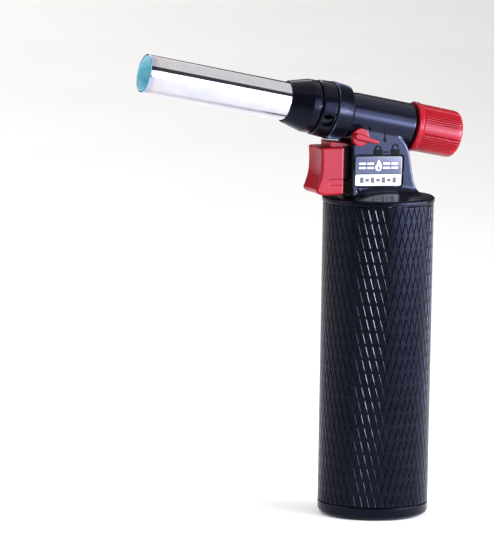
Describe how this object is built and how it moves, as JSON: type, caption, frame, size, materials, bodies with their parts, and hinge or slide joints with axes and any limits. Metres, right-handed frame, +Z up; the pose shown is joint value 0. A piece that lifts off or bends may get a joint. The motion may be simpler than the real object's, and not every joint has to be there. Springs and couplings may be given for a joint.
{
  "type": "butane hand torch",
  "caption": "Refillable hand torch: round knurled fuel handle, clamshell head with trigger, lock lever and gas knob, and a tilted burner tube with an air ring.",
  "frame": {"origin": "centre of the flat underside, on the handle's axis", "axes": "+Z up the handle's axis; the nozzle points toward -X and is tilted up; -Y is the side with the lock lever and the label"},
  "size_m": [0.1286, 0.0428, 0.1769],
  "materials": {
    "black_anodised": "satin black anodised",
    "black_plastic": "gloss",
    "red_plastic": "gloss",
    "chrome_tube": "polished, heat tinted at the mouth",
    "brass": "machined",
    "steel": "bright",
    "tank_alloy": "plain",
    "ceramic": "matt",
    "rubber": "matt",
    "pale_plastic": "matt",
    "dark_plastic": "matt",
    "label": "printed film in two colours"
  },
  "bodies": {
    "handle_and_head": {"grip_sleeve": "black_anodised", "base_cap": "black_plastic", "fuel_tank": "tank_alloy", "base_seal": "rubber", "top_seal": "rubber", "tank_top_plate": "tank_alloy", "fill_valve_body": "brass", "fill_valve_spring": "steel", "main_valve_body": "brass", "main_valve_spring": "steel", "pickup_tube": "pale_plastic", "rim_ring": "black_anodised", "housing_near": "black_plastic", "housing_far": "black_plastic", "housing_screw_1": "steel", "housing_screw_2": "steel", "label_plate": "label", "piezo_igniter": "pale_plastic", "crank_pin": "steel", "gas_hose": "pale_plastic", "regulator_block": "brass", "gas_jet": "brass", "needle_seal": "rubber", "gland_nut": "brass", "mixing_body": "brass", "air_collar": "black_plastic", "nozzle_cone": "black_plastic", "burner_tube": "chrome_tube", "flame_holder": "brass", "electrode_sleeve": "ceramic", "electrode": "steel", "ignition_lead": "dark_plastic"},
    "trigger": {"trigger": "red_plastic"},
    "piezo_plunger": {"piezo_plunger": "dark_plastic"},
    "valve_crank": {"valve_crank": "steel"},
    "main_valve_stem": {"main_valve_stem": "brass"},
    "fill_valve_stem": {"fill_valve_stem": "brass"},
    "lock_lever": {"lock_lever": "red_plastic"},
    "air_ring": {"air_ring": "black_plastic"},
    "gas_knob": {"gas_knob": "red_plastic", "knob_plug": "red_plastic", "knob_spindle": "brass"},
    "needle": {"needle": "steel"}
  },
  "joints": [
    {"name": "trigger_slide", "type": "slide", "parent": "handle_and_head", "child": "trigger", "axis": [1, 0, 0], "range_m": [0, 0.0028], "stiffness_N_per_m": 1200, "springref_m": -0.002},
    {"name": "piezo_plunger_slide", "type": "slide", "parent": "handle_and_head", "child": "piezo_plunger", "axis": [1, 0, 0], "range_m": [0, 0.0028]},
    {"name": "valve_crank_hinge", "type": "hinge", "parent": "handle_and_head", "child": "valve_crank", "pos_m": [0.0032, 0, 0.1236], "axis": [0, 1, 0], "range_deg": [0, 24.4]},
    {"name": "main_valve_stem_slide", "type": "slide", "parent": "handle_and_head", "child": "main_valve_stem", "axis": [0, 0, 1], "range_m": [0, 0.00151], "deforming": ["main_valve_spring"]},
    {"name": "fill_valve_stem_slide", "type": "slide", "parent": "handle_and_head", "child": "fill_valve_stem", "axis": [0, 0, 1], "range_m": [0, 0.0012], "stiffness_N_per_m": 400, "springref_m": -0.001, "deforming": ["fill_valve_spring"]},
    {"name": "lock_lever_hinge", "type": "hinge", "parent": "handle_and_head", "child": "lock_lever", "pos_m": [-0.0115, -0.0078, 0.145], "axis": [0, -1, 0], "range_deg": [0, 36]},
    {"name": "air_ring_hinge", "type": "hinge", "parent": "handle_and_head", "child": "air_ring", "pos_m": [0, 0, 0.1503], "axis": [-0.9796, 0, 0.2011], "range_deg": [-14, 18]},
    {"name": "gas_knob_hinge", "type": "hinge", "parent": "handle_and_head", "child": "gas_knob", "pos_m": [0, 0, 0.1503], "axis": [-0.9796, 0, 0.2011], "range_deg": [-135, 135]},
    {"name": "needle_slide", "type": "slide", "parent": "handle_and_head", "child": "needle", "axis": [-0.9796, 0, 0.2011], "range_m": [-0.00019, 0.00019]}
  ],
  "couplings": [
    {"joint": "piezo_plunger_slide", "follows": "trigger_slide", "ratio": 1},
    {"joint": "valve_crank_hinge", "follows": "trigger_slide", "rad_per_m": 151.5},
    {"joint": "main_valve_stem_slide", "follows": "trigger_slide", "ratio": 0.536},
    {"joint": "needle_slide", "follows": "gas_knob_hinge", "m_per_rad": 0.000079577}
  ]
}
